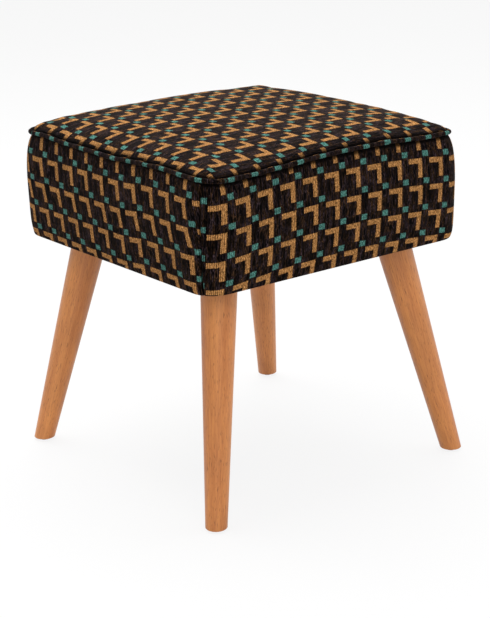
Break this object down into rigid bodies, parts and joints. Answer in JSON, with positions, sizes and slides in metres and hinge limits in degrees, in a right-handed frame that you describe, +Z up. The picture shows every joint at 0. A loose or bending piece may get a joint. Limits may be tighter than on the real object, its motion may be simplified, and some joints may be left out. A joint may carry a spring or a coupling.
{
  "type": "upholstered stool",
  "caption": "Square upholstered stool with a crowned, piped cushion top, a padded boxed side all round, and round tapered wooden legs that splay towards the corners.",
  "frame": {"origin": "on the floor, under the middle of the seat", "axes": "+Z is up; +X and +Y run along the seat's sides, and -Y faces the front panel, the right-hand one of the two that the picture shows"},
  "size_m": [0.4212, 0.4212, 0.4599],
  "materials": {
    "stained_beech": "satin lacquer over an orange-brown stain",
    "pine": "planed, bare",
    "plywood": "bare",
    "patterned_fabric": "ribbed near-black ground with raised mustard brackets and small teal squares",
    "cotton_cord": "twisted",
    "foam": "cut polyether foam",
    "nonwoven_cloth": "spunbonded, matt",
    "zinc_steel": "zinc plated",
    "brown_plastic": "moulded"
  },
  "bodies": {
    "root": {"back_left_corner_block": "pine", "back_left_foot_pad": "brown_plastic", "back_left_leg": "stained_beech", "back_leg_batten": "pine", "back_padding": "foam", "back_rail": "pine", "back_right_corner_block": "pine", "back_right_foot_pad": "brown_plastic", "back_right_leg": "stained_beech", "cover_back": "patterned_fabric", "cover_front": "patterned_fabric", "cover_left": "patterned_fabric", "cover_right": "patterned_fabric", "cover_staples": "zinc_steel", "cover_top": "patterned_fabric", "deck_staples": "zinc_steel", "dust_cover": "nonwoven_cloth", "dust_cover_staples": "zinc_steel", "frame_staples": "zinc_steel", "front_left_corner_block": "pine", "front_left_foot_pad": "brown_plastic", "front_left_leg": "stained_beech", "front_leg_batten": "pine", "front_padding": "foam", "front_rail": "pine", "front_right_corner_block": "pine", "front_right_foot_pad": "brown_plastic", "front_right_leg": "stained_beech", "hanger_bolts": "zinc_steel", "left_padding": "foam", "left_rail": "pine", "piping": "patterned_fabric", "piping_cord": "cotton_cord", "right_padding": "foam", "right_rail": "pine", "seat_deck": "plywood", "seat_foam": "foam", "tee_nuts": "zinc_steel"}
  },
  "joints": []
}
